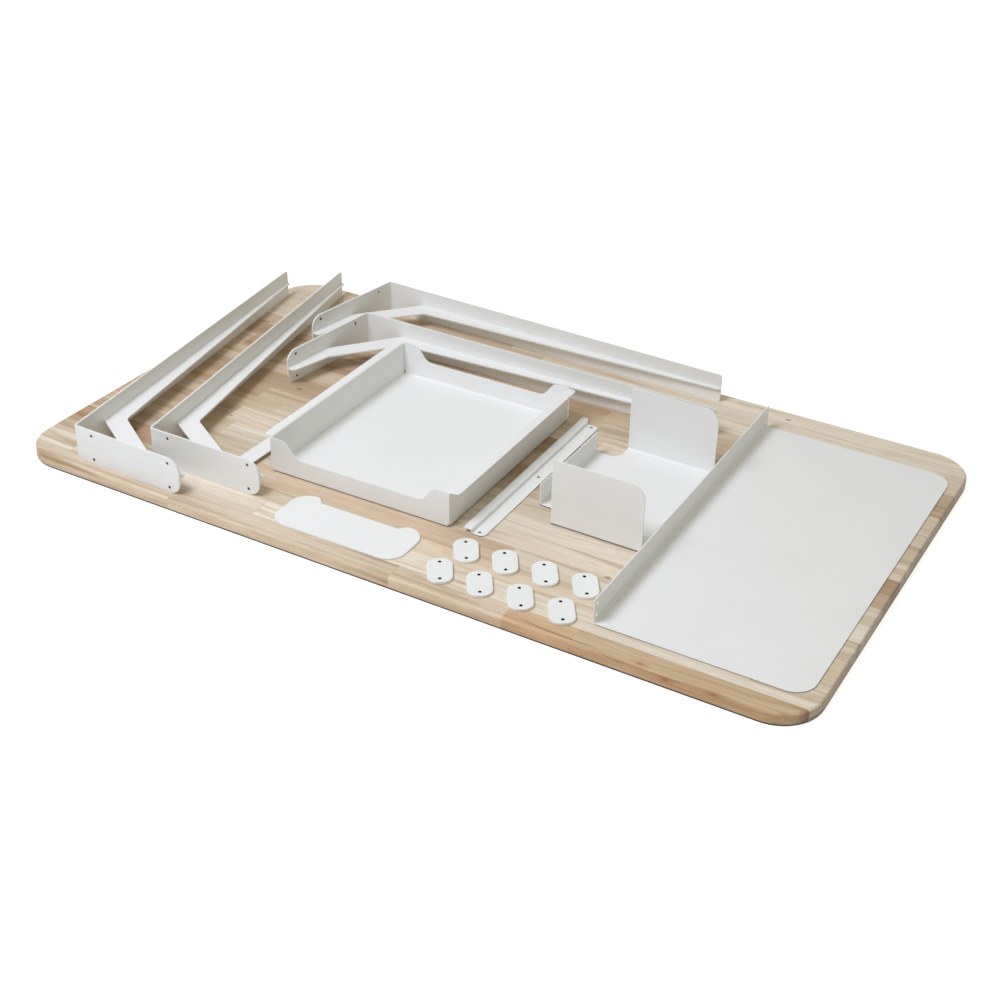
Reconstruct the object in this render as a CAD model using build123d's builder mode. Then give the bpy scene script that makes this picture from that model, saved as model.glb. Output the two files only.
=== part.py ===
from build123d import *
import os
from math import atan, cos, degrees, radians, sin, tan

os.makedirs("parts", exist_ok=True)

# A flat-packed desk, laid out on its own tabletop: four T-section legs, a drawer tray with two rails,
# a notched cover plate, an upright holder, a side panel and eight spacer pads, all folded sheet steel.
# Origin at the middle of the tabletop's underside, X along its length, Y towards its back edge.

# Tabletop
top_length = 1400
top_width = 800
top_thickness = 22
top_corner_radius = 70
top_edge_chamfer = 3
top_under_chamfer = 1.5

# Leg strip: a long arm and a short fixing arm, bent a little wider than square
long_arm = 705
short_arm = 218
strip_height = 63.5
foot_height = 53
strip_thickness = 3
strip_bend_radius = 6
splay = 8.6
fixing_end_radius = 22
foot_corner_radius = 5
leg_hole_diameter = 5
leg_hole_from_bend = 36.5
leg_hole_pitch = 160
pad_hole_pitch = 44

# Leg rib: the plate inside the bend, with a brace across the corner
rib_thickness = 3
rib_foot_width = 8
rib_foot_radius = 3
rib_long_width = 32
rib_short_width = 28
rib_end_width = 17
rib_end_radius = 8
knee_on_long = 99
knee_on_short = 136
knee_radius = 14
brace_on_long = 78
brace_on_short = 114

# Spacer pads, one under each pair of leg screws
pad_width = 39
pad_thickness = 5
pad_corner_radius = 17
pad_hole_diameter = 5

# Drawer tray
tray_width = 338
tray_depth = 405
tray_height = 62.5
tray_sheet = 1.5
tray_bend_radius = 3
tray_lip = 15
tray_lip_radius = 7
tray_slit = 0.6
tray_relief = 6
scoop_shoulder = 30
scoop_run = 20
scoop_height = 35
scoop_radius = 20
tray_top_radius = 3

# Drawer rails
rail_length = 402
rail_width = 37
rail_ledge = 15
rail_tongue = 8
rail_height = 8
rail_sheet = 1.5
rail_bend_radius = 2.5
rail_flange_radius = 9
rail_ledge_radius = 4
rail_hole_diameter = 5
rail_hole_from_end = 8
rail_hole_from_edge = 12

# Cover plate with a flared notch in its back edge
plate_length = 235.5
plate_width = 94
plate_sheet = 3
plate_corner_radius = 30
notch_length = 143
notch_depth = 12
notch_flare = 11
notch_radius = 6

# Holes that join the panel's flange and the holder's low wall
join_hole_diameter = 5
join_hole_height = 12.5
join_hole_pitch = 20.5
join_hole_from_end = 8

# Upright holder
holder_length = 200
holder_width = 277
holder_height = 117.5
holder_sheet = 2
holder_bend_radius = 4
holder_wall_start = 41.5
holder_top_radius = 24
low_wall_length = 198
low_wall_height = 39
holder_notch_radius = 16

# Side panel, a little narrower at its front: its flange is out of line with its free edge
panel_length = 672
panel_width = 331
panel_sheet = 2
panel_flange = 42
panel_taper = 0.6
panel_bend_radius = 7
panel_corner_radius = 35

# Places on the tabletop
leg_1_from_left = 115.5
leg_1_from_front = 20
leg_1_turn = 7.7
front_nest_gap = 11.5
front_nest_slide = 60
front_nest_turn = 1.4
leg_3_from_left = 234.4
leg_3_skew = 0.2
back_nest_gap = 25
back_nest_slide = 79
back_nest_turn = 1.5
tray_from_left = 404
tray_front_gap = 54.2
tray_back_gap = 32.8
tray_turn = 0.8
rail_1_gap = 8.5
rail_1_offset = 4
rail_2_gap = 11.7
rail_2_offset = 8
rail_2_turn = 1
plate_side_gap = 50.5
plate_back_gap = 33.7
plate_turn = 0.6
pad_first_gap = 69
pad_rail_gap = 10.6
pad_columns = 4
pad_front_pitch = 68
pad_back_pitch = 66.2
pad_row_step = 66.5
pad_row_shift = 5.4
pad_turn = 32.4
pad_front_row_turn = 1.3
pad_back_row_turn = 3.6
holder_gap = 30
holder_from_front = 254
panel_gap = 10.3
panel_from_front = 55

overrun = 2


# The long arm lies along +Y from the bend, and the short arm leaves it towards +X
arm_way = Vector(cos(radians(splay)), -sin(radians(splay)))
arm_in = Vector(sin(radians(splay)), cos(radians(splay)))


def on_short_arm(along, across):
    """A point beside the short arm: along it from the bend, and in from its outer face."""
    return arm_way * along + arm_in * across


def lay(piece, label, place):
    """Lay a finished piece on its place and write it."""
    with BuildPart(place) as laid:
        add(piece)
    laid.part.label = label
    export_step(laid.part, f"parts/{label}.step")


with BuildPart() as tabletop:
    with BuildSketch():
        RectangleRounded(top_length, top_width, top_corner_radius)
    extrude(amount=top_thickness)
    chamfer(tabletop.faces().sort_by(Axis.Z)[-1].edges(), top_edge_chamfer)
    chamfer(tabletop.faces().sort_by(Axis.Z)[0].edges(), top_under_chamfer)

# The rib plate is at the strip's mid-height, which is the leg's own Z = 0
inner_bend = (strip_thickness, strip_thickness * (1 - arm_in.X) / arm_in.Y)
inner_radius = strip_bend_radius - strip_thickness
foot_taper = (strip_height - foot_height) / 2

with BuildPart() as leg_strip:
    with BuildSketch(Plane.XY.offset(-strip_height / 2)):
        with BuildLine():
            FilletPolyline(
                (0, long_arm),
                (0, 0),
                on_short_arm(short_arm, 0),
                on_short_arm(short_arm, strip_thickness),
                inner_bend,
                (strip_thickness, long_arm),
                radius=[0, strip_bend_radius, 0, 0, inner_radius, 0],
                close=True,
            )
        make_face()
    extrude(amount=strip_height)
    with BuildSketch(Plane.YZ):
        with BuildLine():
            Polyline(
                (strip_bend_radius, strip_height / 2),
                (long_arm, foot_height / 2),
                (long_arm + overrun, foot_height / 2),
                (long_arm + overrun, strip_height / 2 + overrun),
                (strip_bend_radius, strip_height / 2 + overrun),
                close=True,
            )
        make_face()
        mirror(about=Plane.XZ)
    extrude(amount=strip_thickness + overrun, both=True, mode=Mode.SUBTRACT)
    foot_corners = leg_strip.edges().filter_by(Axis.X).group_by(Axis.Y)[-1]
    fillet(foot_corners, foot_corner_radius)
    fixing_corners = leg_strip.edges().filter_by(Axis((0, 0, 0), arm_in)).sort_by(Axis.X)[-2:]
    fillet(fixing_corners, fixing_end_radius)
    with BuildSketch(Plane((0, 0, 0), x_dir=arm_way, z_dir=arm_in)):
        with Locations((leg_hole_from_bend + leg_hole_pitch / 2, 0)):
            with GridLocations(leg_hole_pitch, pad_hole_pitch, 2, 2):
                Circle(leg_hole_diameter / 2)
    extrude(amount=strip_thickness + overrun, both=True, mode=Mode.SUBTRACT)

with BuildPart() as leg_rib:
    with BuildSketch(Plane.XY.offset(-rib_thickness / 2)):
        with BuildLine():
            FilletPolyline(
                (strip_thickness, long_arm),
                (rib_foot_width, long_arm),
                (rib_long_width, knee_on_long),
                on_short_arm(knee_on_short, rib_short_width),
                on_short_arm(short_arm, rib_end_width),
                on_short_arm(short_arm, strip_thickness),
                on_short_arm(brace_on_short, strip_thickness),
                (strip_thickness, brace_on_long),
                radius=[0, rib_foot_radius, knee_radius, knee_radius, rib_end_radius, 0, 0, 0],
                close=True,
            )
        make_face()
    extrude(amount=rib_thickness)

with BuildPart() as pad:
    with BuildSketch():
        RectangleRounded(pad_width, strip_height, pad_corner_radius)
    extrude(amount=pad_thickness)
    with BuildSketch():
        with GridLocations(pad_width, pad_hole_pitch, 1, 2):
            Circle(pad_hole_diameter / 2)
    extrude(amount=pad_thickness, mode=Mode.SUBTRACT)

# The tray's floor, front and back are one fold, cut to the scooped outline, and its sides the other
tray_inner = tray_bend_radius - tray_sheet
half_width = tray_width / 2
half_depth = tray_depth / 2
floor_edge = half_width - tray_bend_radius
shoulder_x = half_width - scoop_shoulder
scoop_x = shoulder_x - scoop_run

with BuildPart() as tray:
    with BuildSketch(Plane.YZ):
        with BuildLine():
            FilletPolyline(
                (-half_depth, tray_height),
                (-half_depth, 0),
                (half_depth, 0),
                (half_depth, tray_height),
                (half_depth - tray_sheet, tray_height),
                (half_depth - tray_sheet, tray_sheet),
                (tray_sheet - half_depth, tray_sheet),
                (tray_sheet - half_depth, tray_height),
                radius=[0, tray_bend_radius, tray_bend_radius, 0, 0, tray_inner, tray_inner, 0],
                close=True,
            )
        make_face()
    extrude(amount=half_width, both=True)
    with BuildSketch(Plane.XZ):
        with BuildLine():
            FilletPolyline(
                (-floor_edge, 0),
                (-floor_edge, tray_relief),
                (-half_width, tray_relief),
                (-half_width, tray_height),
                (-shoulder_x, tray_height),
                (-scoop_x, scoop_height),
                (scoop_x, scoop_height),
                (shoulder_x, tray_height),
                (half_width, tray_height),
                (half_width, tray_relief),
                (floor_edge, tray_relief),
                (floor_edge, 0),
                radius=[0, 0, 0, tray_top_radius] + [scoop_radius] * 4 + [tray_top_radius, 0, 0, 0],
                close=True,
            )
        make_face()
    extrude(amount=half_depth, both=True, mode=Mode.INTERSECT)
    with BuildSketch(Plane.XZ):
        with BuildLine():
            FilletPolyline(
                (-half_width - tray_lip, tray_height - tray_sheet),
                (-half_width, tray_height - tray_sheet),
                (-half_width, 0),
                (half_width, 0),
                (half_width, tray_height - tray_sheet),
                (half_width + tray_lip, tray_height - tray_sheet),
                (half_width + tray_lip, tray_height),
                (half_width - tray_sheet, tray_height),
                (half_width - tray_sheet, tray_sheet),
                (tray_sheet - half_width, tray_sheet),
                (tray_sheet - half_width, tray_height),
                (-half_width - tray_lip, tray_height),
                radius=[0, tray_inner, tray_bend_radius, tray_bend_radius, tray_inner, 0]
                + [0, tray_bend_radius, tray_inner, tray_inner, tray_bend_radius, 0],
                close=True,
            )
        make_face()
    extrude(amount=half_depth - tray_bend_radius - tray_slit, both=True)
    lip_edges = tray.edges().filter_by(Axis.Z).group_by(Axis.X)
    fillet(lip_edges[0] + lip_edges[-1], tray_lip_radius)

with BuildPart() as rail:
    with BuildSketch(Plane.XZ):
        with BuildLine():
            FilletPolyline(
                (0, rail_height),
                (rail_ledge, rail_height),
                (rail_ledge, rail_sheet),
                (rail_width, rail_sheet),
                (rail_width, 0),
                (rail_ledge - rail_sheet, 0),
                (rail_ledge - rail_sheet, rail_height - rail_sheet),
                (0, rail_height - rail_sheet),
                radius=[0, rail_bend_radius, rail_bend_radius - rail_sheet, 0]
                + [0, rail_bend_radius, rail_bend_radius - rail_sheet, 0],
                close=True,
            )
        make_face()
    extrude(amount=rail_length / 2, both=True)
    with BuildSketch(Plane.XY.offset(rail_height)):
        with Locations(((rail_ledge - rail_bend_radius) / 2, rail_length / 2)):
            Rectangle(rail_ledge - rail_bend_radius, 2 * rail_tongue)
    extrude(amount=-rail_sheet)
    upright_edges = rail.edges().filter_by(Axis.Z)
    tongue_corner = upright_edges.group_by(Axis.Y)[-1].sort_by(Axis.X)[-1]
    fillet(upright_edges.group_by(Axis.X)[0] + [tongue_corner], rail_ledge_radius)
    flange_corners = rail.edges().filter_by(Axis.Z).group_by(Axis.X)[-1]
    fillet(flange_corners, rail_flange_radius)
    with BuildSketch():
        with Locations((rail_width - rail_hole_from_edge, 0)):
            with GridLocations(rail_width, rail_length / 2 - rail_hole_from_end, 1, 3):
                Circle(rail_hole_diameter / 2)
    extrude(amount=rail_sheet, mode=Mode.SUBTRACT)

# The plate's own frame has its front edge on the X axis
notch_half = notch_length / 2
plate_corner_radii = [plate_corner_radius] * 3 + [notch_radius] * 4 + [plate_corner_radius]

with BuildPart() as cover_plate:
    with BuildSketch():
        with BuildLine():
            FilletPolyline(
                (-plate_length / 2, 0),
                (plate_length / 2, 0),
                (plate_length / 2, plate_width),
                (notch_half + notch_flare, plate_width),
                (notch_half, plate_width - notch_depth),
                (-notch_half, plate_width - notch_depth),
                (-notch_half - notch_flare, plate_width),
                (-plate_length / 2, plate_width),
                radius=plate_corner_radii,
                close=True,
            )
        make_face()
    extrude(amount=plate_sheet)

# The holder's own frame starts at the outer face of its low wall
low_half = low_wall_length / 2
holder_half = holder_width / 2
holder_inner = holder_bend_radius - holder_sheet

with BuildPart() as holder:
    with BuildSketch(Plane.YZ.offset(holder_wall_start)):
        with BuildLine():
            FilletPolyline(
                (-holder_half, holder_height),
                (-holder_half, 0),
                (holder_half, 0),
                (holder_half, holder_height),
                (holder_half - holder_sheet, holder_height),
                (holder_half - holder_sheet, holder_sheet),
                (holder_sheet - holder_half, holder_sheet),
                (holder_sheet - holder_half, holder_height),
                radius=[0, holder_bend_radius, holder_bend_radius, 0, 0, holder_inner, holder_inner, 0],
                close=True,
            )
        make_face()
    extrude(amount=holder_length - holder_wall_start)
    top_corners = holder.edges().filter_by(Axis.Y).group_by(Axis.Z)[-1].group_by(Axis.X)[-1]
    fillet(top_corners, holder_top_radius)
    with BuildSketch(Plane.XZ):
        with BuildLine():
            FilletPolyline(
                (0, low_wall_height),
                (0, 0),
                (holder_wall_start + overrun, 0),
                (holder_wall_start + overrun, holder_sheet),
                (holder_sheet, holder_sheet),
                (holder_sheet, low_wall_height),
                radius=[0, holder_bend_radius, 0, 0, holder_inner, 0],
                close=True,
            )
        make_face()
    extrude(amount=low_half, both=True)
    inner_corners = holder.edges().filter_by(Axis.Z).filter_by_position(
        Axis.X, holder_wall_start - overrun, holder_wall_start + overrun
    )
    notch_corners = inner_corners.filter_by_position(Axis.Y, -low_half - overrun, low_half + overrun)
    fillet(notch_corners, holder_notch_radius)
    with BuildSketch(Plane.YZ):
        with Locations((0, join_hole_height + join_hole_pitch / 2)):
            with GridLocations(low_wall_length - 2 * join_hole_from_end, join_hole_pitch, 2, 2):
                Circle(join_hole_diameter / 2)
    extrude(amount=holder_sheet, mode=Mode.SUBTRACT)

# The panel's own frame starts at the outer face of its flange, midway along it
panel_slope = tan(radians(panel_taper))
panel_lean = panel_length / 2 * panel_slope
panel_reach = panel_lean + panel_width * panel_slope + overrun

with BuildPart() as panel:
    with BuildSketch(Plane.XZ.rotated((0, 0, panel_taper))):
        with BuildLine():
            FilletPolyline(
                (0, panel_flange),
                (0, 0),
                (panel_width + panel_reach, 0),
                (panel_width + panel_reach, panel_sheet),
                (panel_sheet, panel_sheet),
                (panel_sheet, panel_flange),
                radius=[0, panel_bend_radius, 0, 0, panel_bend_radius - panel_sheet, 0],
                close=True,
            )
        make_face()
    extrude(amount=panel_length / 2 + panel_reach, both=True)
    with BuildSketch():
        with BuildLine():
            FilletPolyline(
                (-panel_reach, -panel_length / 2),
                (panel_width, -panel_length / 2),
                (panel_width, panel_length / 2),
                (-panel_reach, panel_length / 2),
                radius=[0, panel_corner_radius, panel_corner_radius, 0],
                close=True,
            )
        make_face()
    extrude(amount=panel_flange, mode=Mode.INTERSECT)
    with BuildSketch(Plane.YZ.rotated((0, 0, panel_taper))):
        with Locations((0, join_hole_height + join_hole_pitch / 2)):
            with GridLocations(panel_length - 2 * join_hole_from_end, join_hole_pitch, 2, 2):
                Circle(join_hole_diameter / 2)
    extrude(amount=panel_sheet, mode=Mode.SUBTRACT)

# Legs 1 and 3 each hold another leg inside their knee
foot_tilt = atan(foot_taper / (long_arm - strip_bend_radius))
leg_rest = top_thickness + strip_height / 2 * cos(foot_tilt) + strip_bend_radius * sin(foot_tilt)
knee_long = Vector(rib_long_width, knee_on_long)
knee_short = on_short_arm(knee_on_short, rib_short_width)
brace_way = (knee_short - knee_long).normalized()
brace_out = Vector(-brace_way.Y, brace_way.X)
brace_reach = knee_long.dot(brace_out)


def leg_place(corner, turn):
    """The plane of a leg that rests on its side, level along its tapered edge."""
    tilted = Plane((corner.X, corner.Y, leg_rest)).rotated((-degrees(foot_tilt), 0, 0))
    return tilted.rotated((0, 0, turn))


def nest_step(turn, gap, slide):
    """The way from the corner of a leg to the corner of the leg that lies inside its brace."""
    step = brace_out * (brace_reach + gap) + brace_way * slide
    return step.rotate(Axis.Z, turn)


corner_1 = Vector(leg_1_from_left - top_length / 2, leg_1_from_front - top_width / 2)
corner_2 = corner_1 + nest_step(leg_1_turn, front_nest_gap, front_nest_slide)
leg_2_turn = leg_1_turn + front_nest_turn
fixing_end_2 = corner_2 + on_short_arm(short_arm, 0).rotate(Axis.Z, leg_2_turn)

# The tray lies behind the front legs, with a rail on each side
tray_x = tray_from_left + half_width - top_length / 2
tray_y = corner_2.Y + rib_short_width + tray_front_gap + half_depth
rail_1_x = tray_x + half_width + tray_lip + rail_1_gap
rail_1_y = tray_y + rail_1_offset
rail_2_x = tray_x - half_width - tray_lip - rail_2_gap
rail_2_y = tray_y - rail_2_offset

# Legs 3 and 4 lie behind the tray, a quarter turn round
leg_3_turn = leg_3_skew - 90
back_step = nest_step(leg_3_turn, back_nest_gap, back_nest_slide)
corner_4_y = tray_y + half_depth + tray_back_gap + rib_long_width
corner_3 = Vector(leg_3_from_left - top_length / 2, corner_4_y - back_step.Y)
corner_4 = corner_3 + back_step
leg_4_turn = leg_3_turn + back_nest_turn
foot_4 = corner_4 + Vector(0, long_arm).rotate(Axis.Z, leg_4_turn)
leg_places = (
    leg_place(corner_1, leg_1_turn),
    leg_place(corner_2, leg_2_turn),
    leg_place(corner_3, leg_3_turn),
    leg_place(corner_4, leg_4_turn),
)

# The cover plate lies in front of the tray, and the pads lie to its right
plate_x = fixing_end_2.X + plate_side_gap + plate_length / 2
plate_y = tray_y - half_depth - plate_back_gap - plate_width
pad_x = plate_x + plate_length / 2 + pad_first_gap
pad_rise = (pad_width * sin(radians(pad_turn)) + strip_height * cos(radians(pad_turn))) / 2
pad_y = rail_1_y - rail_length / 2 - pad_rail_gap - pad_rise - pad_row_step
pad_spots = []
for column in range(pad_columns):
    along = column * pad_front_pitch
    pad_spots.append((pad_x + along, pad_y + along * tan(radians(pad_front_row_turn))))
for column in range(pad_columns):
    along = column * pad_back_pitch
    rise = pad_row_step + along * tan(radians(pad_back_row_turn))
    pad_spots.append((pad_x + pad_row_shift + along, pad_y + rise))
pad_half_span = (pad_width * cos(radians(pad_turn)) + strip_height * sin(radians(pad_turn))) / 2
pads_right = max(x for x, y in pad_spots) + pad_half_span

# The holder lies to the right of the first rail, and the panel beyond all of them
holder_x = rail_1_x + rail_width + holder_gap
holder_y = holder_from_front + holder_half - top_width / 2
panel_x = max(holder_x + holder_length, pads_right, foot_4.X) + panel_gap + panel_lean
panel_y = panel_from_front + panel_length / 2 - top_width / 2

lay(tabletop.part, "tabletop", Plane.XY)

for number, place in enumerate(leg_places, start=1):
    lay(leg_strip.part, f"leg_strip_{number}", place)
    lay(leg_rib.part, f"leg_rib_{number}", place)

for number, (x, y) in enumerate(pad_spots, start=1):
    place = Plane((x, y, top_thickness)).rotated((0, 0, pad_turn))
    lay(pad.part, f"spacer_pad_{number}", place)

lay(tray.part, "drawer_tray", Plane((tray_x, tray_y, top_thickness)).rotated((0, 0, tray_turn)))
rail_1_place = Plane((rail_1_x, rail_1_y, top_thickness))
lay(rail.part, "drawer_rail_1", rail_1_place.rotated((0, 0, tray_turn)))
rail_2_place = Plane((rail_2_x, rail_2_y, top_thickness))
lay(rail.part, "drawer_rail_2", rail_2_place.rotated((0, 0, 180 - rail_2_turn)))
plate_place = Plane((plate_x, plate_y, top_thickness))
lay(cover_plate.part, "cover_plate", plate_place.rotated((0, 0, plate_turn)))
lay(holder.part, "holder", Plane((holder_x, holder_y, top_thickness)))
lay(panel.part, "side_panel", Plane((panel_x, panel_y, top_thickness)))
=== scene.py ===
import math

import bmesh
import bpy
from mathutils import Matrix, Vector


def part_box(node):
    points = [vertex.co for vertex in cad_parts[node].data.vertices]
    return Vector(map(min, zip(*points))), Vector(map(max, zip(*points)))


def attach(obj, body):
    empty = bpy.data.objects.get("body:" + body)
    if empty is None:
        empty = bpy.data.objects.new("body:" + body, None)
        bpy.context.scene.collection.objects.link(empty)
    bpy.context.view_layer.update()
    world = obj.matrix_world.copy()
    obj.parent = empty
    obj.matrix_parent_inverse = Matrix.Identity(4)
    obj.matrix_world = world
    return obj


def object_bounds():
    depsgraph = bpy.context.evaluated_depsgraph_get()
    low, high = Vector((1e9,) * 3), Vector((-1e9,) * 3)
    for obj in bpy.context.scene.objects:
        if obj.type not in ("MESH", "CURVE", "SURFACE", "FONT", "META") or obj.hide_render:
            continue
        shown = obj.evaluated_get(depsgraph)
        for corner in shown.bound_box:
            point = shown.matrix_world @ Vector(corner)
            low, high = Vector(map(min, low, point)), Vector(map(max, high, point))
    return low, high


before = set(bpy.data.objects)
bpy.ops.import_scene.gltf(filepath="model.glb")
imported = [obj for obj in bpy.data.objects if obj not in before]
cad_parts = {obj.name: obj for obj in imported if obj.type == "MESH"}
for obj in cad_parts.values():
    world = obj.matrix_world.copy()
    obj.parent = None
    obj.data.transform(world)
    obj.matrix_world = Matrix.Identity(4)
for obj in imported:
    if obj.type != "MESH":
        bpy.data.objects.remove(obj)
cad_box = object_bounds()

# A flat-packed desk on its own tabletop: butcher-block wood and white powder-coated steel.
# Lengths are in metres.

# Camera, solved from the photograph's own lines: degrees, and shares of the picture's width
CAMERA_PLACE = (1.1488, -2.0221, 1.3869)
CAMERA_TURN = 27.87
CAMERA_DROP = 31.38
CAMERA_ROLL = 2.03
SENSOR_MM = 36.0
LENS_MM = 57.760
SHIFT_X = -0.04195
SHIFT_Y = -0.01728
CLIP_FAR = 100.0

# Light: a soft box above the front left, and a faintly warm room that is brighter overhead
AMBIENT = 0.437
AMBIENT_TINT = (1.0, 0.98, 0.825, 1.0)
AMBIENT_LOW = 0.72
AMBIENT_RISE = 0.42
KEY_PLACE = (-0.73, -1.5, 2.72)
KEY_SIDE = 1.2
KEY_WATTS = 57.0
KEY_TINT = (0.967, 1.005, 1.165)
FLOOR_TONE = 0.82
FLOOR_LIFT = 0.715
FLOOR_SIDE = 40.0
FLOOR_GAP = 0.0002
WHITE = (1.0, 1.0, 1.0, 1.0)

# Wood: the staves from front to back, each by its front line and the number its luck is drawn from
BOARD_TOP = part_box("tabletop")[1][2]
STAVES = (
    (-0.400, 46),
    (-0.366, 4),
    (-0.321, 50),
    (-0.283, 37),
    (-0.233, 122),
    (-0.190, 23),
    (-0.144, 93),
    (-0.094, 56),
    (-0.054, 52),
    (-0.012, 94),
    (0.041, 26),
    (0.095, 66),
    (0.147, 125),
    (0.193, 32),
    (0.232, 47),
    (0.273, 12),
    (0.312, 99),
    (0.354, 113),
)
STAVE_LENGTH = 0.42
PIECE_UNEVENNESS = 0.8
PIECE_SHARE = 0.6
ROW_SLIDE = 57.0
GRAIN_SLIDE = 31.0
ROW_DRAW = 3.7
PIECE_DRAW = 1.3
TINT_DRAW = 8.6
KNOT_DRAW = 4.4

# The scattered knots: the cell that holds one, the luck it takes, and its length against its width
KNOT_CELL = (0.26, 0.12)
KNOT_ODDS = 0.62
KNOT_STRETCH = 1.9

# The front stave: its joint, its tones to the left and right of that, and the marks it carries
FRONT_JOINT = 0.232
JOINT_EASE = 0.001
FRONT_TONES = (0.44, 0.76)
FRONT_FIGURE = 0.8
FLAME_SHARES = (0.3, 0.75)
FRONT_KNOTS = ((0.451, -0.393), (0.493, -0.4065), (0.565, -0.4025))
FRONT_KNOT_SQUEEZE = 0.4
CRACK_MIDDLE = (0.345, -0.3931)
CRACK_BEND = 0.71
CRACK_CENTRE = 0.318
CRACK_REACH = 0.068
CRACK_FULL = 0.7
CRACK_DEPTH = 0.95

# Grain, as noise: turns in a metre along the stave and across it, detail, roughness, distortion
NOISE_MIDDLE = 0.5
BOW_TURNS = (2.6, 5.0)
BOW_DETAIL = 1.0
BLOTCH_TURNS = (9.0, 70.0)
BLOTCH_DETAIL = 3.0
STREAKS = (3.6, 62.0, 2.5, 0.5, 0.5)
RINGS = (2.6, 150.0, 3.0)
CRACKS = (1.1, 240.0, 1.0)
MOTTLE = (7.0, 24.0, 2.0)
FLAMES = (9.0, 210.0, 3.0, 0.6, 0.6)
FIBRES = (5.0, 420.0, 4.0, 0.6)
PORES = (55.0, 1300.0, 2.0)
END_SPECK = (700.0, 3.0)

# What each value of the wood runs between, and what it is taken to
WOOD_STEPS = {
    "glue": (0.0002, 0.0009, 0.5, 0.0),
    "butt": (0.0002, 0.0010, 0.22, 0.0),
    "tone": (0.08, 0.92, 0.0, 1.0),
    "joint": (FRONT_JOINT - JOINT_EASE, FRONT_JOINT + JOINT_EASE, *FRONT_TONES),
    "knot_size": (0.0, 1.0, 0.0018, 0.0042),
    "knot_core": (0.45, 1.3, 0.75, 0.0),
    "knot_pull": (0.0, 0.022, 0.55, 0.0),
    "bow_reach": (0.0, 1.0, 0.01, 0.055),
    "streak_share": (0.1, 0.9, 0.25, 1.0),
    "streak": (0.50, 0.70, 0.0, 1.0),
    "ring": (0.46, 0.72, 0.0, 0.6),
    "pale": (0.25, 0.42, 0.6, 0.0),
    "crack": (0.70, 0.76, 0.0, 0.55),
    "mottle": (0.35, 0.65, 0.0, 1.0),
    "flame": (0.42, 0.66, 0.0, 1.0),
    "fibre": (0.3, 0.7, 0.95, 1.04),
    "pore": (0.56, 0.68, 0.0, 0.35),
    "side_face": (0.5, 0.9, 0.0, 1.0),
    "blotch": (0.3, 0.7, -0.5, 0.5),
    "browning": (-0.6, 0.6, 0.12, 0.72),
    "end_face": (0.6, 0.9, 0.0, 1.0),
    "end_speck": (0.3, 0.7, 0.0, 1.0),
    # Painted shade along the board's underside edge, reaching higher on the end faces
    "foot": (0.0032, 0.0047, 0.07, 1.0),
    "end_foot": (0.0020, 0.0090, 0.30, 1.0),
    "roughness": (0.3, 0.7, 0.62, 0.48),
    "front_unround": (0.3, 0.7, 0.6, 1.4),
    "front_halo": (0.0015, 0.0090, 0.75, 0.0),
    "front_core": (0.0008, 0.0026, 0.65, 0.0),
    "front_wander": (0.3, 0.7, -0.0005, 0.0005),
    "front_split": (0.0004, 0.0010, 1.0, 0.0),
    "front_ends": (CRACK_REACH * CRACK_FULL, CRACK_REACH, CRACK_DEPTH, 0.0),
}

# Colours of the wood from pale to dark; stains, which multiply it; and browns, which cover it
WOOD_TONES = (
    (0.0, (0.86, 0.77, 0.655)),
    (0.25, (0.795, 0.695, 0.57)),
    (0.5, (0.71, 0.60, 0.465)),
    (0.75, (0.62, 0.485, 0.35)),
    (1.0, (0.46, 0.31, 0.195)),
)
TINT_STAINS = ((1.03, 0.985, 0.94), (0.975, 1.0, 1.0))
MOTTLE_STAINS = ((1.04, 1.05, 1.06), (0.96, 0.94, 0.92))
SIDE_STAINS = ((1.09, 1.06, 1.01), (0.90, 0.79, 0.67))
# End faces: end grain's own darker tone, with painted shade added
END_GRAIN_AND_SHADE = ((0.47, 0.41, 0.345), (0.74, 0.70, 0.66))
STREAK_STAIN = (0.62, 0.50, 0.385)
RING_STAIN = (0.82, 0.75, 0.66)
PALE_STAIN = (1.07, 1.09, 1.12)
FLAME_STAIN = (0.83, 0.74, 0.64)
FRONT_STAIN = (1.06, 1.0, 0.92)
HALO_STAIN = (0.82, 0.62, 0.44)
CRACK_BROWN = (0.30, 0.18, 0.10)
PORE_BROWN = (0.38, 0.26, 0.16)
KNOT_BROWN = (0.20, 0.11, 0.055)
SEAM_BROWN = (0.33, 0.22, 0.13)
CORE_BROWN = (0.22, 0.11, 0.055)
SPLIT_BROWN = (0.15, 0.085, 0.05)
SEAM_SHARE = 0.6

# Relief of the wood: the share of each layer in its height, and the bump's strength and depth
FIBRE_HEIGHT = 0.6
RING_HEIGHT = 0.4
PORE_HEIGHT = 0.8
WOOD_BUMP = (0.2, 0.0005)
WOOD_SPECULAR = 0.35

# Powder coat: each noise by its scale and detail
COAT_TONES = ((0.3, (0.845, 0.847, 0.832)), (0.7, (0.865, 0.867, 0.855)))
COAT_CLOUD = (9.0, 3.0)
COAT_PEEL = (1300.0, 2.0)
COAT_SPECK = (420.0, 1.0)
COAT_ROUGHNESS = (0.3, 0.7, 0.44, 0.56)
COAT_BUMP = (0.10, 0.0002)
COAT_SPECULAR = 0.45

# Painted contact shadow along each sheet's lower arris: how high it reaches on each piece, and the
# faces it keeps off
PANEL_SHADE_HEM = 0.0009
RAIL_SHADE_HEM = 0.0014
TRAY_SHADE_HEM = 0.0022
HOLDER_SHADE_HEM = 0.0027
SHADE_HEM_FULL = 0.85
SHADE_HEM_OFF_UNDER = (-0.97, -0.85, 0.0, 1.0)
SHADE_HEM_OFF_TOP = (0.1, 0.3, 1.0, 0.0)
SHADE_HEM_TONE = (0.035, 0.032, 0.028)
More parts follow.
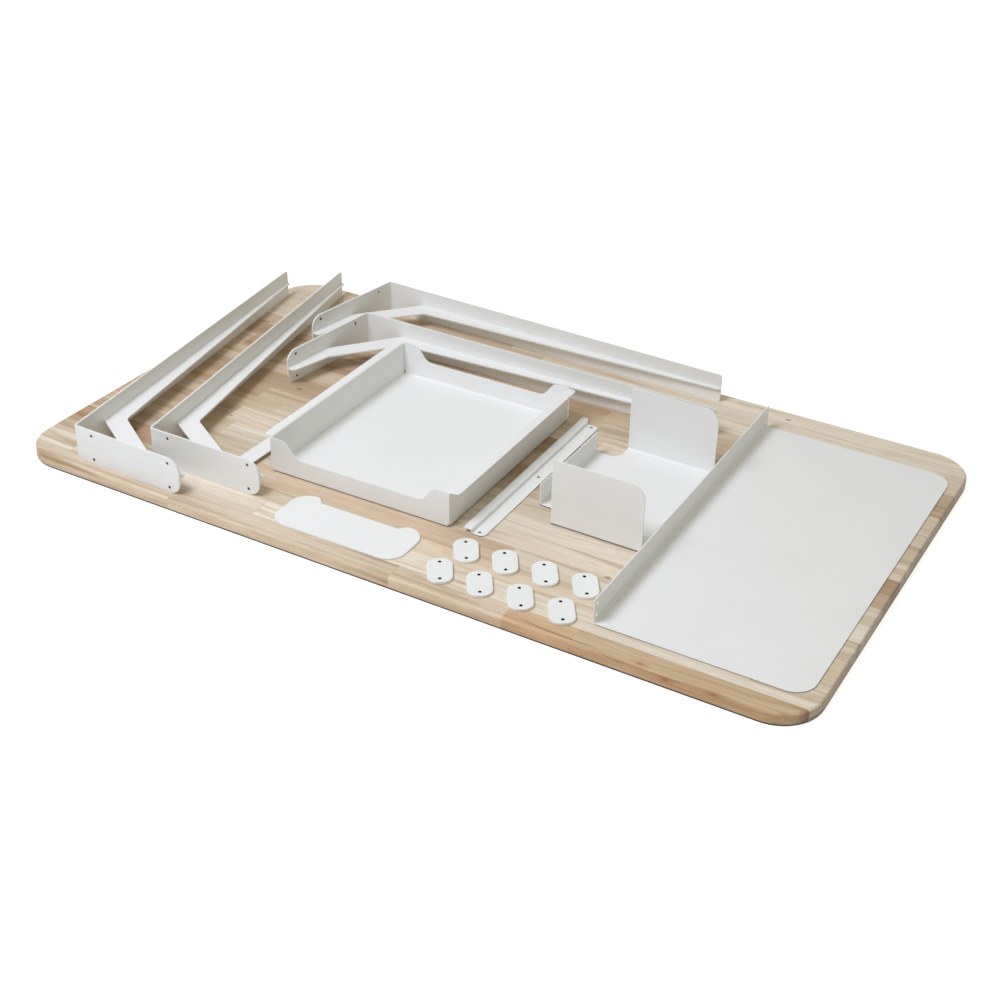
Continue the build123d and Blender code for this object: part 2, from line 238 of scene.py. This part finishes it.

# Painted shade in the screw holes: dark liners stand in for the shade inside them
BORE_SHADE_TONES = ((0.35, (0.018, 0.017, 0.016)), (0.65, (0.040, 0.037, 0.034)))
BORE_SHADE_SCORE = (2400.0, 2.0)
BORE_SHADE_MOTTLE = (700.0, 3.0)
BORE_SHADE_ROUGHNESS = (0.3, 0.7, 0.45, 0.7)
BORE_SHADE_BUMP = (0.15, 0.0001)
BORE_SHADE_SPECULAR = 0.4

# Edges: each rounding by its width and its segments
EDGE_ROUND = (0.00035, 2)
PAD_ROUND = (0.0009, 3)
RIM_ROUND = (0.0012, 3)
WELD_REACH = 0.000002
FLAT_DEGREES = 0.5
EDGE_DEGREES = 35.0
FACE_WEIGHT = 100

# Screw holes: the pieces that have them, and what a rim is known by
BORED = ("leg_strip", "spacer_pad", "drawer_rail")
BORE_RADIUS = 0.0025
BORE_SLACK = 0.05
RIM_SIDES = 30
RIM_SLACK = 1.1
RIM_DEGREES = 60.0

# Liners of the screw holes: the easing of their inner and outer lips, and how deep they sit
LINER_SIDES = 32
LINER_CLEARANCE = 0.00003
LINER_WALL = 0.00035
LINER_EASE = LINER_WALL * 0.5
LINER_LIP = LINER_EASE * 0.4
LINER_SUNK = LINER_EASE * 0.2

scene = bpy.context.scene


def set_input(tree, socket, value):
    """Link a value that is a socket, and set one that is a number."""
    if isinstance(value, bpy.types.NodeSocket):
        tree.links.new(value, socket)
    else:
        socket.default_value = value


def add_node(tree, kind, inputs=None, **settings):
    """A node with its settings made and its inputs set or linked."""
    made = tree.nodes.new(kind)
    for key, value in settings.items():
        setattr(made, key, value)
    for name, value in (inputs or {}).items():
        set_input(tree, made.inputs[name], value)
    return made


def calc(tree, operation, first, second=0.0, third=0.0, clamp=False):
    """One step of arithmetic."""
    inputs = {0: first, 1: second, 2: third}
    made = add_node(tree, "ShaderNodeMath", inputs, operation=operation, use_clamp=clamp)
    return made.outputs[0]


def gap(tree, value, other):
    """How far apart two values are."""
    return calc(tree, "ABSOLUTE", calc(tree, "SUBTRACT", value, other))


def hypotenuse(tree, first, second):
    """The length of a step with these two sides."""
    square = calc(tree, "MULTIPLY_ADD", first, first, calc(tree, "MULTIPLY", second, second))
    return calc(tree, "SQRT", square)


def spread(tree, value, low, high, to_low, to_high):
    """A value taken from one range to another, held inside it."""
    inputs = {
        "Value": value,
        "From Min": low,
        "From Max": high,
        "To Min": to_low,
        "To Max": to_high,
    }
    return add_node(tree, "ShaderNodeMapRange", inputs).outputs["Result"]


def wood_step(tree, name, value):
    """A value of the wood taken through its own step."""
    return spread(tree, value, *WOOD_STEPS[name])


def join(tree, x, y, z):
    """A vector from its three parts."""
    return add_node(tree, "ShaderNodeCombineXYZ", {0: x, 1: y, 2: z}).outputs[0]


def split(tree, vector):
    """The three parts of a vector."""
    return tuple(add_node(tree, "ShaderNodeSeparateXYZ", {0: vector}).outputs)


def noise(tree, vector, scale, detail, roughness=0.55, distortion=0.0):
    """Soft noise about 0.5."""
    inputs = {
        "Vector": vector,
        "Scale": scale,
        "Detail": detail,
        "Roughness": roughness,
        "Distortion": distortion,
    }
    return add_node(tree, "ShaderNodeTexNoise", inputs).outputs[0]


def mix(tree, factor, first, second):
    """A number between two others."""
    return add_node(tree, "ShaderNodeMix", {0: factor, 2: first, 3: second}).outputs[0]


def mix_colour(tree, factor, first, second, blend="MIX"):
    """A colour between two others, or one laid on the other."""
    made = add_node(tree, "ShaderNodeMix", {0: factor}, data_type="RGBA", blend_type=blend)
    for index, value in ((6, first), (7, second)):
        if isinstance(value, tuple):
            value = (*value, 1.0)
        set_input(tree, made.inputs[index], value)
    return made.outputs[2]


def stain(tree, factor, colour, by):
    """A colour with a stain soaked into a share of it."""
    if factor == 1.0:
        return mix_colour(tree, 1.0, colour, by, "MULTIPLY")
    return mix_colour(tree, factor, colour, mix_colour(tree, 1.0, colour, by, "MULTIPLY"))


def ramp(tree, value, stops):
    """A colour read off a row of stops, each a place and a colour."""
    made = add_node(tree, "ShaderNodeValToRGB", {0: value})
    elements = made.color_ramp.elements
    while len(elements) < len(stops):
        elements.new(1.0)
    for element, (place, colour) in zip(elements, stops):
        element.position = place
        element.color = (*colour, 1.0)
    return made.outputs[0]


def cells(tree, value, randomness):
    """Uneven lengths along one line: each cell's own place, and the distance to its nearer end."""
    kind = "ShaderNodeTexVoronoi"
    settings = {"voronoi_dimensions": "1D"}
    inputs = {"W": value, "Scale": 1.0, "Randomness": randomness}
    near = add_node(tree, kind, inputs, feature="F1", **settings)
    edge = add_node(tree, kind, inputs, feature="DISTANCE_TO_EDGE", **settings)
    return near.outputs["W"], edge.outputs["Distance"]


def dice(tree, x, y, z=0.0):
    """Three steady random numbers for a place."""
    inputs = {"Vector": join(tree, x, y, z)}
    made = add_node(tree, "ShaderNodeTexWhiteNoise", inputs, noise_dimensions="3D")
    return tuple(add_node(tree, "ShaderNodeSeparateColor", {0: made.outputs["Color"]}).outputs)


def seen_straight(tree):
    """1 for what the camera sees straight, in gloss or through glass, and 0 for light."""
    path = add_node(tree, "ShaderNodeLightPath").outputs
    seen = calc(tree, "MAXIMUM", path["Is Camera Ray"], path["Is Glossy Ray"])
    return calc(tree, "MAXIMUM", seen, path["Is Transmission Ray"])


def new_material(name):
    """An empty material and its node tree."""
    material = bpy.data.materials.new(name)
    material.use_nodes = True
    material.node_tree.nodes.clear()
    return material, material.node_tree


def close_material(tree, colour, roughness, height, bump, specular):
    """The surface that a material's colour, roughness and relief end in."""
    strength, depth = bump
    relief = {"Strength": strength, "Distance": depth, "Height": height}
    inputs = {
        "Base Color": colour,
        "Roughness": roughness,
        "Specular IOR Level": specular,
        "Normal": add_node(tree, "ShaderNodeBump", relief).outputs[0],
    }
    surface = add_node(tree, "ShaderNodeBsdfPrincipled", inputs)
    add_node(tree, "ShaderNodeOutputMaterial", {"Surface": surface.outputs[0]})


def lay_staves(tree, y):
    """The number of the stave at a place, and the glue line beside it."""
    row = STAVES[0][1]
    glue = 0.0
    for (_, number_before), (line, number) in zip(STAVES, STAVES[1:]):
        past = calc(tree, "GREATER_THAN", y, line)
        row = calc(tree, "MULTIPLY_ADD", past, number - number_before, row)
        glue = calc(tree, "MAXIMUM", glue, wood_step(tree, "glue", gap(tree, y, line)))
    return row, glue


def scatter_knots(tree, x, y):
    """Small knots here and there: their dark cores, and how far they push the grain aside."""
    cell_x, cell_y = KNOT_CELL
    vector = join(tree, calc(tree, "DIVIDE", x, cell_x), calc(tree, "DIVIDE", y, cell_y), 0.0)
    inputs = {"Vector": vector, "Scale": 1.0}
    knots = add_node(tree, "ShaderNodeTexVoronoi", inputs, voronoi_dimensions="2D")
    spot_x, spot_y, _ = split(tree, knots.outputs["Position"])
    from_x = calc(tree, "SUBTRACT", x, calc(tree, "MULTIPLY", spot_x, cell_x))
    from_y = calc(tree, "SUBTRACT", y, calc(tree, "MULTIPLY", spot_y, cell_y))
    luck, size, _ = dice(tree, spot_x, spot_y, KNOT_DRAW)
    here = calc(tree, "GREATER_THAN", luck, KNOT_ODDS)
    far = hypotenuse(tree, calc(tree, "DIVIDE", from_x, KNOT_STRETCH), from_y)
    in_knot = calc(tree, "DIVIDE", far, wood_step(tree, "knot_size", size))
    core = calc(tree, "MULTIPLY", wood_step(tree, "knot_core", in_knot), here)
    pull = calc(tree, "MULTIPLY", wood_step(tree, "knot_pull", far), here)
    return core, calc(tree, "MULTIPLY", from_y, pull)


def mark_front(tree, colour, x, y, z, wobble):
    """The front stave's knots and crack. For the knots it is unrolled over the board's rim."""
    around = calc(tree, "ADD", y, calc(tree, "SUBTRACT", z, BOARD_TOP))
    unround = wood_step(tree, "front_unround", wobble)
    for knot_x, knot_y in FRONT_KNOTS:
        along = calc(tree, "MULTIPLY", calc(tree, "SUBTRACT", x, knot_x), FRONT_KNOT_SQUEEZE)
        far = hypotenuse(tree, along, calc(tree, "SUBTRACT", around, knot_y))
        far = calc(tree, "MULTIPLY", far, unround)
        colour = stain(tree, wood_step(tree, "front_halo", far), colour, HALO_STAIN)
        colour = mix_colour(tree, wood_step(tree, "front_core", far), colour, CORE_BROWN)
    away = calc(tree, "SUBTRACT", x, CRACK_MIDDLE[0])
    away = calc(tree, "MULTIPLY", away, away)
    line = calc(tree, "MULTIPLY_ADD", away, CRACK_BEND, CRACK_MIDDLE[1])
    line = calc(tree, "ADD", line, wood_step(tree, "front_wander", wobble))
    ends = wood_step(tree, "front_ends", gap(tree, x, CRACK_CENTRE))
    crack = calc(tree, "MULTIPLY", wood_step(tree, "front_split", gap(tree, y, line)), ends)
    return mix_colour(tree, crack, colour, SPLIT_BROWN)


def make_wood():
    """Butcher block: staves along X, each of pieces of uneven length and tone set end to end."""
    material, tree = new_material("butcher_block")
    coords = add_node(tree, "ShaderNodeTexCoord").outputs
    x, y, z = split(tree, coords["Object"])
    facing_x, facing_y, _ = split(tree, coords["Normal"])

    def step(name, value):
        """A step in this tree."""
        return wood_step(tree, name, value)

    row, glue = lay_staves(tree, y)
    row_luck, row_tone, _ = dice(tree, row, ROW_DRAW)
    slide = calc(tree, "MULTIPLY", row_luck, ROW_SLIDE)
    along = calc(tree, "ADD", calc(tree, "DIVIDE", x, STAVE_LENGTH), slide)
    piece, piece_edge = cells(tree, along, PIECE_UNEVENNESS)
    butt = step("butt", calc(tree, "MULTIPLY", piece_edge, STAVE_LENGTH))
    tone_luck, grain_luck, figure_luck = dice(tree, row, piece, PIECE_DRAW)
    tint_luck, bow_luck, _ = dice(tree, row, piece, TINT_DRAW)

    front = calc(tree, "LESS_THAN", y, STAVES[1][0])
    front_right = calc(tree, "MULTIPLY", front, calc(tree, "GREATER_THAN", x, FRONT_JOINT))
    tone_luck = step("tone", mix(tree, PIECE_SHARE, row_tone, tone_luck))
    tone_luck = mix(tree, front, tone_luck, step("joint", x))
    figure_luck = mix(tree, front, figure_luck, FRONT_FIGURE)
    tint = mix_colour(tree, tint_luck, *TINT_STAINS)
    colour = stain(tree, 1.0, ramp(tree, tone_luck, WOOD_TONES), tint)

    knot_core, knot_push = scatter_knots(tree, x, y)
    offset = calc(tree, "MULTIPLY", grain_luck, GRAIN_SLIDE)
    lengthwise = calc(tree, "ADD", x, offset)
    bow_x = calc(tree, "MULTIPLY", lengthwise, BOW_TURNS[0])
    bow_y = calc(tree, "MULTIPLY", y, BOW_TURNS[1])
    bow = noise(tree, join(tree, bow_x, bow_y, offset), 1.0, BOW_DETAIL)
    bow = calc(tree, "SUBTRACT", bow, NOISE_MIDDLE)
    across = calc(tree, "ADD", y, calc(tree, "MULTIPLY", bow, step("bow_reach", bow_luck)))
    across = calc(tree, "SUBTRACT", across, knot_push)

    def grain(stretch, pitch, *kind):
        """Noise drawn out along the stave."""
        vector = join(
            tree,
            calc(tree, "MULTIPLY", lengthwise, stretch),
            calc(tree, "MULTIPLY", across, pitch),
            calc(tree, "MULTIPLY", z, pitch),
        )
        return noise(tree, vector, 1.0, *kind)

    streaks = grain(*STREAKS)
    rings = grain(*RINGS)
    mottle = grain(*MOTTLE)
    fibres = grain(*FIBRES)
    streak = calc(tree, "MULTIPLY", step("streak", streaks), step("streak_share", figure_luck))
    flame_share = calc(tree, "MULTIPLY", mix(tree, front_right, *FLAME_SHARES), front)
    flame = calc(tree, "MULTIPLY", step("flame", grain(*FLAMES)), flame_share)
    fibre = step("fibre", fibres)
    pore = step("pore", grain(*PORES))
    seam = calc(tree, "MAXIMUM", glue, butt)

    colour = stain(tree, streak, colour, STREAK_STAIN)
    colour = stain(tree, step("ring", rings), colour, RING_STAIN)
    colour = stain(tree, step("pale", streaks), colour, PALE_STAIN)
    colour = mix_colour(tree, step("crack", grain(*CRACKS)), colour, CRACK_BROWN)
    colour = stain(tree, 1.0, colour, mix_colour(tree, step("mottle", mottle), *MOTTLE_STAINS))
    colour = stain(tree, flame, colour, FLAME_STAIN)
    colour = stain(tree, front_right, colour, FRONT_STAIN)
    colour = stain(tree, 1.0, colour, join(tree, fibre, fibre, fibre))
    colour = mix_colour(tree, pore, colour, PORE_BROWN)
    colour = mix_colour(tree, knot_core, colour, KNOT_BROWN)
    colour = mix_colour(tree, calc(tree, "MULTIPLY", seam, SEAM_SHARE), colour, SEAM_BROWN)

    side_face = step("side_face", calc(tree, "ABSOLUTE", facing_y))
    blotch_x = calc(tree, "MULTIPLY", x, BLOTCH_TURNS[0])
    blotch_z = calc(tree, "MULTIPLY", z, BLOTCH_TURNS[1])
    blotch = noise(tree, join(tree, blotch_x, 0.0, blotch_z), 1.0, BLOTCH_DETAIL)
    blotch = calc(tree, "ADD", step("blotch", blotch), step("browning", x), clamp=True)
    colour = stain(tree, side_face, colour, mix_colour(tree, blotch, *SIDE_STAINS))
    colour = mark_front(tree, colour, x, y, z, mottle)

    # End faces darker: partly end grain's own tone, partly painted shade
    end_face = step("end_face", calc(tree, "ABSOLUTE", facing_x))
    end_speck = step("end_speck", noise(tree, coords["Object"], *END_SPECK))
    colour = stain(tree, end_face, colour, mix_colour(tree, end_speck, *END_GRAIN_AND_SHADE))
    # Painted shade: darker towards the board's underside edge, and over more of each end face
    foot = mix(tree, end_face, step("foot", z), step("end_foot", z))
    colour = stain(tree, 1.0, colour, join(tree, foot, foot, foot))

    fibre_height = calc(tree, "MULTIPLY", fibres, FIBRE_HEIGHT)
    height = calc(tree, "MULTIPLY_ADD", rings, RING_HEIGHT, fibre_height)
    sunk = calc(tree, "MULTIPLY_ADD", pore, PORE_HEIGHT, seam)
    height = calc(tree, "SUBTRACT", height, sunk)
    close_material(tree, colour, step("roughness", fibres), height, WOOD_BUMP, WOOD_SPECULAR)
    return material


def make_coat(name, hem=0.0):
    """White powder coat: satin, with a fine orange peel. A shade hem paints contact shadow on the
    lower arris.
    """
    material, tree = new_material(name)
    coords = add_node(tree, "ShaderNodeTexCoord").outputs
    where = coords["Object"]
    colour = ramp(tree, noise(tree, where, *COAT_CLOUD), COAT_TONES)
    if hem:
        # Painted shade: the lowest part of the sheet's sides is darkened, standing in for the
        # contact shadow under its edge
        up = split(tree, where)[2]
        facing_up = split(tree, coords["Normal"])[2]
        off_under = spread(tree, facing_up, *SHADE_HEM_OFF_UNDER)
        off_top = spread(tree, facing_up, *SHADE_HEM_OFF_TOP)
        low = spread(tree, up, BOARD_TOP + hem * SHADE_HEM_FULL, BOARD_TOP + hem, 1.0, 0.0)
        painted_shade = calc(tree, "MULTIPLY", low, calc(tree, "MULTIPLY", off_under, off_top))
        colour = mix_colour(tree, painted_shade, colour, SHADE_HEM_TONE)
    roughness = spread(tree, noise(tree, where, *COAT_SPECK), *COAT_ROUGHNESS)
    peel = noise(tree, where, *COAT_PEEL)
    close_material(tree, colour, roughness, peel, COAT_BUMP, COAT_SPECULAR)
    return material


def make_painted_bore_wall():
    """Painted shade on the wall of a drilled hole: a dark lining where the hole lies in shade."""
    material, tree = new_material("bare_steel")
    where = add_node(tree, "ShaderNodeTexCoord").outputs["Object"]
    score = noise(tree, where, *BORE_SHADE_SCORE)
    colour = ramp(tree, noise(tree, where, *BORE_SHADE_MOTTLE), BORE_SHADE_TONES)
    roughness = spread(tree, score, *BORE_SHADE_ROUGHNESS)
    close_material(tree, colour, roughness, score, BORE_SHADE_BUMP, BORE_SHADE_SPECULAR)
    return material


def make_floor():
    """A white sheet that shows the shadow on it. Its lift is seen, and lights nothing."""
    material, tree = new_material("stage_white")
    tone = (FLOOR_TONE, FLOOR_TONE, FLOOR_TONE, 1.0)
    strength = calc(tree, "MULTIPLY", seen_straight(tree), FLOOR_LIFT)
    paper = add_node(tree, "ShaderNodeBsdfDiffuse", {"Color": tone}).outputs[0]
    lift = add_node(tree, "ShaderNodeEmission", {"Strength": strength}).outputs[0]
    both = add_node(tree, "ShaderNodeAddShader", {0: paper, 1: lift}).outputs[0]
    add_node(tree, "ShaderNodeOutputMaterial", {"Surface": both})
    return material


def dress(node, material, round_by, segments):
    """Paint a CAD node, and take the sharpness off its edges."""
    node.data.materials.clear()
    node.data.materials.append(material)
    weld = node.modifiers.new("weld", "WELD")
    weld.merge_threshold = WELD_REACH
    flats = node.modifiers.new("flats", "DECIMATE")
    flats.decimate_type = "DISSOLVE"
    flats.angle_limit = math.radians(FLAT_DEGREES)
    soften = node.modifiers.new("soften", "BEVEL")
    soften.width = round_by
    soften.segments = segments
    soften.limit_method = "ANGLE"
    soften.angle_limit = math.radians(EDGE_DEGREES)
    soften.use_clamp_overlap = False
    soften.miter_outer = "MITER_ARC"
    shade = node.modifiers.new("shade", "WEIGHTED_NORMAL")
    shade.keep_sharp = False
    shade.weight = FACE_WEIGHT


def is_rim(edge):
    """Whether an edge is short and sharp enough to be part of a screw hole's rim."""
    longest = RIM_SLACK * 2 * math.pi * BORE_RADIUS / RIM_SIDES
    if len(edge.link_faces) != 2 or edge.calc_length() >= longest:
        return False
    return edge.calc_face_angle() > math.radians(RIM_DEGREES)


def find_bores(node):
    """The ends of the screw holes in a CAD node, as pairs of points in the row frame."""
    work = bmesh.new()
    work.from_mesh(node.data)
    bmesh.ops.remove_doubles(work, verts=work.verts, dist=WELD_REACH)
    waiting = dict.fromkeys(edge for edge in work.edges if is_rim(edge))
    centres = []
    while waiting:
        group = [waiting.popitem()[0]]
        for edge in group:
            for corner in edge.verts:
                for other in corner.link_edges:
                    if other in waiting:
                        del waiting[other]
                        group.append(other)
        corners = dict.fromkeys(corner for edge in group for corner in edge.verts)
        middle = sum((corner.co for corner in corners), Vector()) / len(corners)
        reaches = [(corner.co - middle).length for corner in corners]
        if all(abs(reach / BORE_RADIUS - 1) < BORE_SLACK for reach in reaches):
            centres.append(node.matrix_world @ middle)
    work.free()
    pairs = []
    while centres:
        first = centres.pop(0)
        second = min(centres, key=lambda point: (point - first).length)
        centres.remove(second)
        pairs.append((first, second))
    return pairs


def liner_profile(length):
    """A liner's section, as points of radius and height around its wall."""
    outer = BORE_RADIUS - LINER_CLEARANCE
    inner = BORE_RADIUS - LINER_WALL
    return (
        (outer, LINER_LIP),
        (outer, length - LINER_LIP),
        (outer - LINER_LIP, length - LINER_SUNK),
        (inner + LINER_EASE, length - LINER_SUNK),
        (inner, length - LINER_EASE),
        (inner, LINER_EASE),
        (inner + LINER_EASE, LINER_SUNK),
        (outer - LINER_LIP, LINER_SUNK),
    )


def add_liner(work, first, second):
    """One liner between the two ends of a hole."""
    way = second - first
    turn = way.to_track_quat("Z", "Y").to_matrix()
    profile = liner_profile(way.length)
    rings = []
    for step in range(LINER_SIDES):
        angle = 2 * math.pi * step / LINER_SIDES
        side = Vector((math.cos(angle), math.sin(angle), 0.0))
        points = [first + turn @ (side * reach + Vector((0, 0, up))) for reach, up in profile]
        rings.append([work.verts.new(point) for point in points])
    count = len(profile)
    for step, here in enumerate(rings):
        there = rings[(step + 1) % LINER_SIDES]
        for index in range(count):
            after = (index + 1) % count
            work.faces.new((here[index], there[index], there[after], here[after]))


def line_bores(node, body, material):
    """Thin dark liners in all the screw holes of a CAD node, painting the shade inside them."""
    work = bmesh.new()
    for first, second in find_bores(node):
        add_liner(work, first, second)
    bmesh.ops.recalc_face_normals(work, faces=work.faces)
    mesh = bpy.data.meshes.new(node.name + "_bores")
    work.to_mesh(mesh)
    work.free()
    mesh.materials.append(material)
    liners = bpy.data.objects.new(node.name + "_bores", mesh)
    scene.collection.objects.link(liners)
    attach(liners, body)


def make_world():
    """Room light that grows towards the zenith, with plain white for what is seen straight."""
    world = bpy.data.worlds.new("studio")
    scene.world = world
    world.use_nodes = True
    tree = world.node_tree
    tree.nodes.clear()
    up = split(tree, add_node(tree, "ShaderNodeTexCoord").outputs["Generated"])[2]
    lowest = AMBIENT * AMBIENT_LOW
    highest = AMBIENT * (AMBIENT_LOW + AMBIENT_RISE)
    level = spread(tree, up, 0.0, 1.0, lowest, highest)
    light = add_node(tree, "ShaderNodeBackground", {"Color": AMBIENT_TINT, "Strength": level})
    white = add_node(tree, "ShaderNodeBackground", {"Color": WHITE, "Strength": 1.0})
    inputs = {0: seen_straight(tree), 1: light.outputs[0], 2: white.outputs[0]}
    both = add_node(tree, "ShaderNodeMixShader", inputs)
    add_node(tree, "ShaderNodeOutputWorld", {"Surface": both.outputs[0]})


def make_key():
    """The soft box, turned to the middle of the board."""
    lamp = bpy.data.lights.new("key", "AREA")
    lamp.shape = "SQUARE"
    lamp.size = KEY_SIDE
    lamp.energy = KEY_WATTS
    lamp.color = KEY_TINT
    holder = bpy.data.objects.new("key", lamp)
    scene.collection.objects.link(holder)
    holder.location = KEY_PLACE
    holder.rotation_euler = Vector(KEY_PLACE).to_track_quat("Z", "Y").to_euler()


def make_camera():
    """The camera of the photograph."""
    lens = bpy.data.cameras.new("camera")
    lens.sensor_fit = "HORIZONTAL"
    lens.sensor_width = SENSOR_MM
    lens.lens = LENS_MM
    lens.shift_x = SHIFT_X
    lens.shift_y = SHIFT_Y
    lens.clip_end = CLIP_FAR
    camera = bpy.data.objects.new("camera", lens)
    scene.collection.objects.link(camera)
    turn = Matrix.Rotation(math.radians(CAMERA_TURN), 4, "Z")
    drop = Matrix.Rotation(math.radians(90.0 - CAMERA_DROP), 4, "X")
    roll = Matrix.Rotation(math.radians(CAMERA_ROLL), 4, "Z")
    camera.matrix_world = Matrix.Translation(CAMERA_PLACE) @ turn @ drop @ roll
    scene.camera = camera


def make_floor_sheet():
    """The floor, a hair below the board."""
    half = FLOOR_SIDE / 2
    mesh = bpy.data.meshes.new("floor")
    corners = ((-half, -half, 0.0), (half, -half, 0.0), (half, half, 0.0), (-half, half, 0.0))
    mesh.from_pydata(corners, (), ((0, 1, 2, 3),))
    mesh.materials.append(make_floor())
    floor = bpy.data.objects.new("floor", mesh)
    scene.collection.objects.link(floor)
    floor.location.z = cad_box[0][2] - FLOOR_GAP


wood = make_wood()
coat = make_coat("powder_coat")
finishes = {
    "tabletop": (wood, RIM_ROUND),
    "spacer_pad": (coat, PAD_ROUND),
    "side_panel": (make_coat("powder_coat_cut", PANEL_SHADE_HEM), EDGE_ROUND),
    "drawer_rail": (make_coat("powder_coat_rail", RAIL_SHADE_HEM), EDGE_ROUND),
    "drawer_tray": (make_coat("powder_coat_tray", TRAY_SHADE_HEM), EDGE_ROUND),
    "holder": (make_coat("powder_coat_holder", HOLDER_SHADE_HEM), EDGE_ROUND),
}
dark_lining = make_painted_bore_wall()
for name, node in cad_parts.items():
    kind = name.rstrip("_0123456789")
    material, rounding = finishes.get(kind, (coat, EDGE_ROUND))
    dress(node, material, *rounding)
    if kind in BORED:
        line_bores(node, name.replace("strip_", ""), dark_lining)

make_floor_sheet()
make_world()
make_key()
make_camera()
scene.view_settings.view_transform = "Standard"
